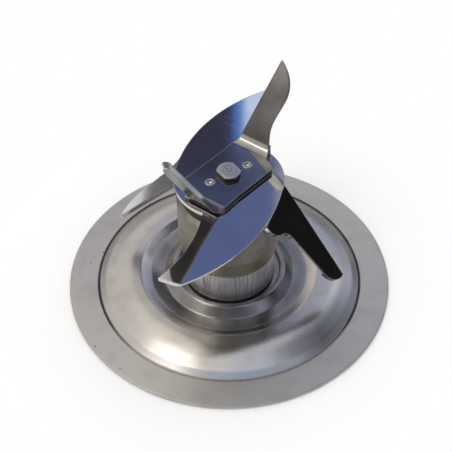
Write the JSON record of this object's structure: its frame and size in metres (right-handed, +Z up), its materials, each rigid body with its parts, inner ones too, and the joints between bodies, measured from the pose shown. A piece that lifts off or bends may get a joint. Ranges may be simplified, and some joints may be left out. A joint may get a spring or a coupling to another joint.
{
  "type": "blender blade assembly",
  "caption": "Stainless blender cutter: pressed domed base flange with a bearing post, and a stack of folded and flat blades on a spindle turned by a socket coupling.",
  "frame": {"origin": "centre of the rim's underside, on the spindle axis", "axes": "+Z up the spindle from the flange to the blades, +X along the plate of the upper blade at rest"},
  "size_m": [0.082, 0.082, 0.0557],
  "materials": {
    "base_flange": "pressed sheet, satin rim and polished dome, scratched",
    "housing_gasket": "flat black rubber ring",
    "bearing_housing": "turned steel, worn with upright scratches",
    "lock_washer": "plain spring steel",
    "housing_nut": "machined steel",
    "housing_sleeve": "drawn steel, warm brushed finish",
    "lower_bushing": "sintered bronze",
    "upper_bushing": "sintered bronze",
    "oil_felt": "oiled felt",
    "shaft_seal": "moulded black rubber",
    "spindle": "ground steel, peened satin head",
    "drive_coupling": "sintered steel",
    "coupling_pin": "hardened steel",
    "lower_thrust_washer": "polished steel",
    "upper_thrust_washer": "dark low-friction plastic",
    "blade_collar": "turned steel",
    "lower_blade": "polished stainless sheet, ground edge",
    "leaf_blade": "mirror-polished stainless sheet, ground edge",
    "upper_blade": "polished stainless sheet, ground edge",
    "locating_rivets": "punched steel"
  },
  "bodies": {
    "base": {"base_flange": "base_flange", "housing_gasket": "housing_gasket", "bearing_housing": "bearing_housing", "lock_washer": "lock_washer", "housing_nut": "housing_nut", "housing_sleeve": "housing_sleeve", "lower_bushing": "lower_bushing", "upper_bushing": "upper_bushing", "oil_felt": "oil_felt", "shaft_seal": "shaft_seal"},
    "rotor": {"spindle": "spindle", "drive_coupling": "drive_coupling", "coupling_pin": "coupling_pin", "lower_thrust_washer": "lower_thrust_washer", "upper_thrust_washer": "upper_thrust_washer", "blade_collar": "blade_collar", "lower_blade": "lower_blade", "leaf_blade": "leaf_blade", "upper_blade": "upper_blade", "locating_rivets": "locating_rivets"}
  },
  "joints": [
    {"name": "blade_spin", "type": "hinge", "parent": "base", "child": "rotor", "pos_m": [0, 0, 0.018], "axis": [0, 0, 1], "continuous": true}
  ]
}
